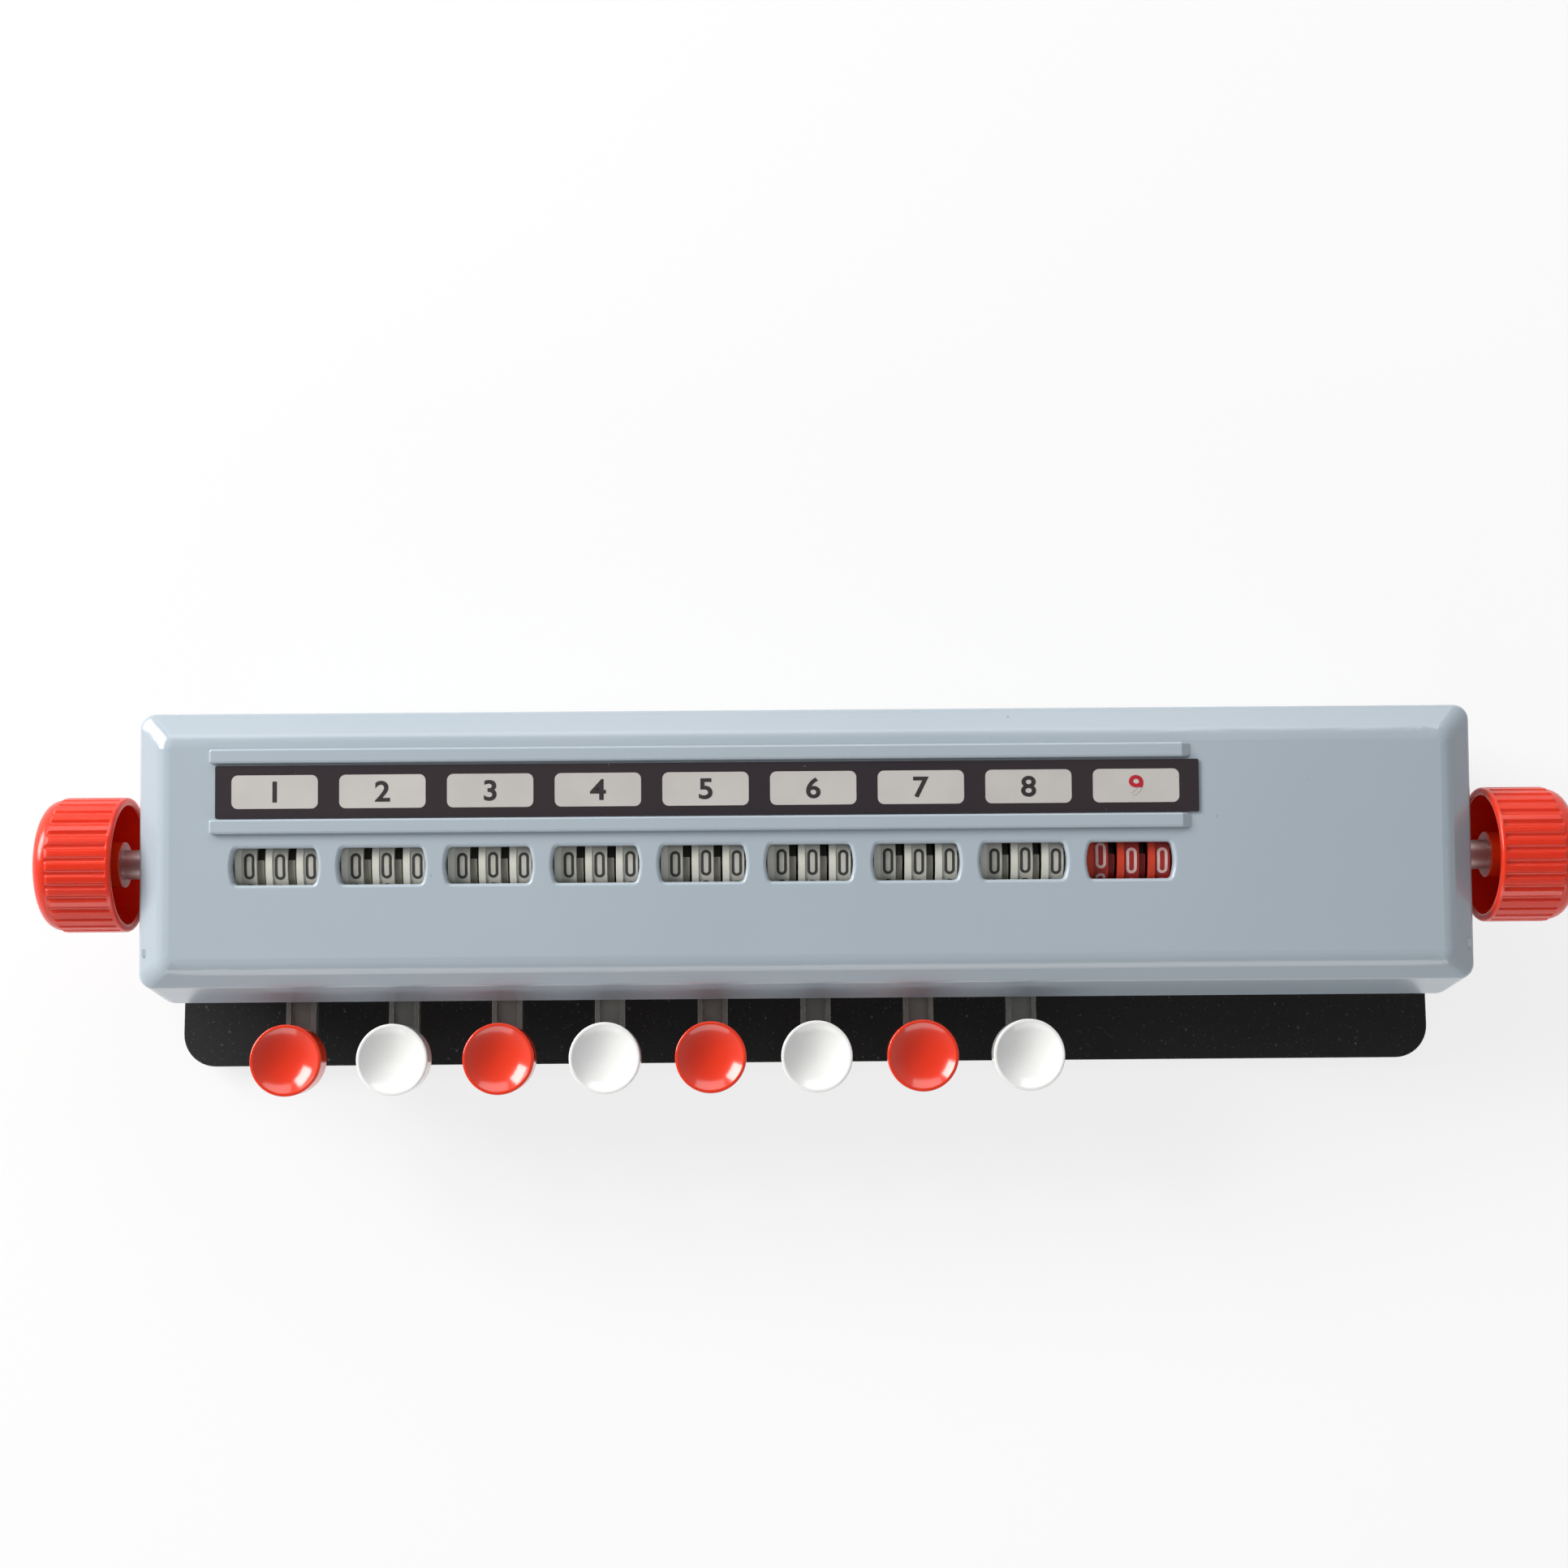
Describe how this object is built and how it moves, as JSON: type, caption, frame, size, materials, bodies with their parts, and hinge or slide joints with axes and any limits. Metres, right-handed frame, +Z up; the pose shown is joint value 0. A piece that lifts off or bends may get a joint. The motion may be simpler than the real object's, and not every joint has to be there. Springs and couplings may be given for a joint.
{
  "type": "mechanical differential cell counter",
  "caption": "Hand tally for blood cells: finger keys under a sloped cover drive figure wheels behind windows, with a reset knob at each end.",
  "frame": {"origin": "on the table under the middle of the whole, the middle of its bounding box's underside", "axes": "+X along the row of keys to the right as its user sees it, +Y to the rear, +Z up"},
  "size_m": [0.319, 0.0792, 0.0433],
  "materials": {
    "housing": "glossy moulded, pale blue-grey",
    "label_strip": "printed film, satin",
    "base_plate": "fine matt black paint",
    "feet": "matt",
    "screws": "zinc plated",
    "sheet_steel": "zinc plated sheet",
    "bush_brass": "turned",
    "bright_steel": "bright drawn",
    "felt": "dense felt",
    "spring_steel": "bright wire",
    "lever_steel": "dull nickel",
    "red_plastic": "glossy moulded, orange red",
    "white_plastic": "glossy moulded, white",
    "wheel_ivory": "satin moulded",
    "wheel_red": "satin moulded",
    "bell_brass": "polished plating"
  },
  "bodies": {
    "root": {"housing": "housing", "label_strip": "label_strip", "base_plate": "base_plate", "rubber_feet": "feet", "base_screws": "screws", "counter_frames": "sheet_steel", "shaft_bushes": "bush_brass", "key_pivot_rod": "bright_steel", "key_frame": "sheet_steel", "key_stop_felt": "felt", "return_springs": "spring_steel", "bell": "bell_brass"},
    "reset": {"reset_shaft": "bright_steel", "left_knob": "red_plastic", "right_knob": "red_plastic"},
    "bail": {"total_bail": "sheet_steel"},
    "hammer": {"bell_hammer": "sheet_steel"},
    "key_1": {"key_lever_1": "lever_steel", "key_button_1": "red_plastic"},
    "key_2": {"key_lever_2": "lever_steel", "key_button_2": "white_plastic"},
    "key_3": {"key_lever_3": "lever_steel", "key_button_3": "red_plastic"},
    "key_4": {"key_lever_4": "lever_steel", "key_button_4": "white_plastic"},
    "key_5": {"key_lever_5": "lever_steel", "key_button_5": "red_plastic"},
    "key_6": {"key_lever_6": "lever_steel", "key_button_6": "white_plastic"},
    "key_7": {"key_lever_7": "lever_steel", "key_button_7": "red_plastic"},
    "key_8": {"key_lever_8": "lever_steel", "key_button_8": "white_plastic"},
    "units_1": {"units_wheel_1": "wheel_ivory"},
    "tens_1": {"tens_wheel_1": "wheel_ivory"},
    "hundreds_1": {"hundreds_wheel_1": "wheel_ivory"},
    "units_2": {"units_wheel_2": "wheel_ivory"},
    "tens_2": {"tens_wheel_2": "wheel_ivory"},
    "hundreds_2": {"hundreds_wheel_2": "wheel_ivory"},
    "units_3": {"units_wheel_3": "wheel_ivory"},
    "tens_3": {"tens_wheel_3": "wheel_ivory"},
    "hundreds_3": {"hundreds_wheel_3": "wheel_ivory"},
    "units_4": {"units_wheel_4": "wheel_ivory"},
    "tens_4": {"tens_wheel_4": "wheel_ivory"},
    "hundreds_4": {"hundreds_wheel_4": "wheel_ivory"},
    "units_5": {"units_wheel_5": "wheel_ivory"},
    "tens_5": {"tens_wheel_5": "wheel_ivory"},
    "hundreds_5": {"hundreds_wheel_5": "wheel_ivory"},
    "units_6": {"units_wheel_6": "wheel_ivory"},
    "tens_6": {"tens_wheel_6": "wheel_ivory"},
    "hundreds_6": {"hundreds_wheel_6": "wheel_ivory"},
    "units_7": {"units_wheel_7": "wheel_ivory"},
    "tens_7": {"tens_wheel_7": "wheel_ivory"},
    "hundreds_7": {"hundreds_wheel_7": "wheel_ivory"},
    "units_8": {"units_wheel_8": "wheel_ivory"},
    "tens_8": {"tens_wheel_8": "wheel_ivory"},
    "hundreds_8": {"hundreds_wheel_8": "wheel_ivory"},
    "units_9": {"units_wheel_9": "wheel_red"},
    "tens_9": {"tens_wheel_9": "wheel_red"},
    "hundreds_9": {"hundreds_wheel_9": "wheel_red"}
  },
  "joints": [
    {"name": "reset_turn", "type": "hinge", "parent": "root", "child": "reset", "pos_m": [0, 0.00904, 0.02793], "axis": [1, 0, 0], "continuous": true},
    {"name": "key_press_1", "type": "hinge", "parent": "root", "child": "key_1", "pos_m": [-0.10805, 0.0291, 0.0105], "axis": [1, 0, 0], "range_deg": [0, 7], "stiffness_Nm_per_rad": 0.15, "springref_deg": -5.73, "deforming": ["return_springs"]},
    {"name": "key_press_2", "type": "hinge", "parent": "root", "child": "key_2", "pos_m": [-0.08605, 0.0291, 0.0105], "axis": [1, 0, 0], "range_deg": [0, 7], "stiffness_Nm_per_rad": 0.15, "springref_deg": -5.73, "deforming": ["return_springs"]},
    {"name": "key_press_3", "type": "hinge", "parent": "root", "child": "key_3", "pos_m": [-0.06405, 0.0291, 0.0105], "axis": [1, 0, 0], "range_deg": [0, 7], "stiffness_Nm_per_rad": 0.15, "springref_deg": -5.73, "deforming": ["return_springs"]},
    {"name": "key_press_4", "type": "hinge", "parent": "root", "child": "key_4", "pos_m": [-0.04205, 0.0291, 0.0105], "axis": [1, 0, 0], "range_deg": [0, 7], "stiffness_Nm_per_rad": 0.15, "springref_deg": -5.73, "deforming": ["return_springs"]},
    {"name": "key_press_5", "type": "hinge", "parent": "root", "child": "key_5", "pos_m": [-0.02005, 0.0291, 0.0105], "axis": [1, 0, 0], "range_deg": [0, 7], "stiffness_Nm_per_rad": 0.15, "springref_deg": -5.73, "deforming": ["return_springs"]},
    {"name": "key_press_6", "type": "hinge", "parent": "root", "child": "key_6", "pos_m": [0.00195, 0.0291, 0.0105], "axis": [1, 0, 0], "range_deg": [0, 7], "stiffness_Nm_per_rad": 0.15, "springref_deg": -5.73, "deforming": ["return_springs"]},
    {"name": "key_press_7", "type": "hinge", "parent": "root", "child": "key_7", "pos_m": [0.02395, 0.0291, 0.0105], "axis": [1, 0, 0], "range_deg": [0, 7], "stiffness_Nm_per_rad": 0.15, "springref_deg": -5.73, "deforming": ["return_springs"]},
    {"name": "key_press_8", "type": "hinge", "parent": "root", "child": "key_8", "pos_m": [0.04595, 0.0291, 0.0105], "axis": [1, 0, 0], "range_deg": [0, 7], "stiffness_Nm_per_rad": 0.15, "springref_deg": -5.73, "deforming": ["return_springs"]},
    {"name": "units_turn_1", "type": "hinge", "parent": "root", "child": "units_1", "pos_m": [-0.1093, 0.00904, 0.02793], "axis": [1, 0, 0], "continuous": true},
    {"name": "tens_turn_1", "type": "hinge", "parent": "root", "child": "tens_1", "pos_m": [-0.1093, 0.00904, 0.02793], "axis": [1, 0, 0], "continuous": true},
    {"name": "hundreds_turn_1", "type": "hinge", "parent": "root", "child": "hundreds_1", "pos_m": [-0.1093, 0.00904, 0.02793], "axis": [1, 0, 0], "continuous": true},
    {"name": "units_turn_2", "type": "hinge", "parent": "root", "child": "units_2", "pos_m": [-0.0873, 0.00904, 0.02793], "axis": [1, 0, 0], "continuous": true},
    {"name": "tens_turn_2", "type": "hinge", "parent": "root", "child": "tens_2", "pos_m": [-0.0873, 0.00904, 0.02793], "axis": [1, 0, 0], "continuous": true},
    {"name": "hundreds_turn_2", "type": "hinge", "parent": "root", "child": "hundreds_2", "pos_m": [-0.0873, 0.00904, 0.02793], "axis": [1, 0, 0], "continuous": true},
    {"name": "units_turn_3", "type": "hinge", "parent": "root", "child": "units_3", "pos_m": [-0.0653, 0.00904, 0.02793], "axis": [1, 0, 0], "continuous": true},
    {"name": "tens_turn_3", "type": "hinge", "parent": "root", "child": "tens_3", "pos_m": [-0.0653, 0.00904, 0.02793], "axis": [1, 0, 0], "continuous": true},
    {"name": "hundreds_turn_3", "type": "hinge", "parent": "root", "child": "hundreds_3", "pos_m": [-0.0653, 0.00904, 0.02793], "axis": [1, 0, 0], "continuous": true},
    {"name": "units_turn_4", "type": "hinge", "parent": "root", "child": "units_4", "pos_m": [-0.0433, 0.00904, 0.02793], "axis": [1, 0, 0], "continuous": true},
    {"name": "tens_turn_4", "type": "hinge", "parent": "root", "child": "tens_4", "pos_m": [-0.0433, 0.00904, 0.02793], "axis": [1, 0, 0], "continuous": true},
    {"name": "hundreds_turn_4", "type": "hinge", "parent": "root", "child": "hundreds_4", "pos_m": [-0.0433, 0.00904, 0.02793], "axis": [1, 0, 0], "continuous": true},
    {"name": "units_turn_5", "type": "hinge", "parent": "root", "child": "units_5", "pos_m": [-0.0213, 0.00904, 0.02793], "axis": [1, 0, 0], "continuous": true},
    {"name": "tens_turn_5", "type": "hinge", "parent": "root", "child": "tens_5", "pos_m": [-0.0213, 0.00904, 0.02793], "axis": [1, 0, 0], "continuous": true},
    {"name": "hundreds_turn_5", "type": "hinge", "parent": "root", "child": "hundreds_5", "pos_m": [-0.0213, 0.00904, 0.02793], "axis": [1, 0, 0], "continuous": true},
    {"name": "units_turn_6", "type": "hinge", "parent": "root", "child": "units_6", "pos_m": [0.0007, 0.00904, 0.02793], "axis": [1, 0, 0], "continuous": true},
    {"name": "tens_turn_6", "type": "hinge", "parent": "root", "child": "tens_6", "pos_m": [0.0007, 0.00904, 0.02793], "axis": [1, 0, 0], "continuous": true},
    {"name": "hundreds_turn_6", "type": "hinge", "parent": "root", "child": "hundreds_6", "pos_m": [0.0007, 0.00904, 0.02793], "axis": [1, 0, 0], "continuous": true},
    {"name": "units_turn_7", "type": "hinge", "parent": "root", "child": "units_7", "pos_m": [0.0227, 0.00904, 0.02793], "axis": [1, 0, 0], "continuous": true},
    {"name": "tens_turn_7", "type": "hinge", "parent": "root", "child": "tens_7", "pos_m": [0.0227, 0.00904, 0.02793], "axis": [1, 0, 0], "continuous": true},
    {"name": "hundreds_turn_7", "type": "hinge", "parent": "root", "child": "hundreds_7", "pos_m": [0.0227, 0.00904, 0.02793], "axis": [1, 0, 0], "continuous": true},
    {"name": "units_turn_8", "type": "hinge", "parent": "root", "child": "units_8", "pos_m": [0.0447, 0.00904, 0.02793], "axis": [1, 0, 0], "continuous": true},
    {"name": "tens_turn_8", "type": "hinge", "parent": "root", "child": "tens_8", "pos_m": [0.0447, 0.00904, 0.02793], "axis": [1, 0, 0], "continuous": true},
    {"name": "hundreds_turn_8", "type": "hinge", "parent": "root", "child": "hundreds_8", "pos_m": [0.0447, 0.00904, 0.02793], "axis": [1, 0, 0], "continuous": true},
    {"name": "units_turn_9", "type": "hinge", "parent": "root", "child": "units_9", "pos_m": [0.0667, 0.00904, 0.02793], "axis": [1, 0, 0], "continuous": true},
    {"name": "tens_turn_9", "type": "hinge", "parent": "root", "child": "tens_9", "pos_m": [0.0667, 0.00904, 0.02793], "axis": [1, 0, 0], "continuous": true},
    {"name": "hundreds_turn_9", "type": "hinge", "parent": "root", "child": "hundreds_9", "pos_m": [0.0667, 0.00904, 0.02793], "axis": [1, 0, 0], "continuous": true},
    {"name": "bail_swing", "type": "hinge", "parent": "root", "child": "bail", "pos_m": [0, 0.0291, 0.0105], "axis": [1, 0, 0], "range_deg": [-6.5, 0]},
    {"name": "hammer_strike", "type": "hinge", "parent": "root", "child": "hammer", "pos_m": [0.088, 0.02972, 0.0111], "axis": [0, 0, -1], "range_deg": [0, 5.5], "stiffness_Nm_per_rad": 0.002, "springref_deg": -11.46}
  ],
  "couplings": [
    {"joint": "tens_turn_1", "follows": "units_turn_1", "ratio": 0.1},
    {"joint": "hundreds_turn_1", "follows": "units_turn_1", "ratio": 0.01},
    {"joint": "tens_turn_2", "follows": "units_turn_2", "ratio": 0.1},
    {"joint": "hundreds_turn_2", "follows": "units_turn_2", "ratio": 0.01},
    {"joint": "tens_turn_3", "follows": "units_turn_3", "ratio": 0.1},
    {"joint": "hundreds_turn_3", "follows": "units_turn_3", "ratio": 0.01},
    {"joint": "tens_turn_4", "follows": "units_turn_4", "ratio": 0.1},
    {"joint": "hundreds_turn_4", "follows": "units_turn_4", "ratio": 0.01},
    {"joint": "tens_turn_5", "follows": "units_turn_5", "ratio": 0.1},
    {"joint": "hundreds_turn_5", "follows": "units_turn_5", "ratio": 0.01},
    {"joint": "tens_turn_6", "follows": "units_turn_6", "ratio": 0.1},
    {"joint": "hundreds_turn_6", "follows": "units_turn_6", "ratio": 0.01},
    {"joint": "tens_turn_7", "follows": "units_turn_7", "ratio": 0.1},
    {"joint": "hundreds_turn_7", "follows": "units_turn_7", "ratio": 0.01},
    {"joint": "tens_turn_8", "follows": "units_turn_8", "ratio": 0.1},
    {"joint": "hundreds_turn_8", "follows": "units_turn_8", "ratio": 0.01},
    {"joint": "tens_turn_9", "follows": "units_turn_9", "ratio": 0.1},
    {"joint": "hundreds_turn_9", "follows": "units_turn_9", "ratio": 0.01}
  ]
}
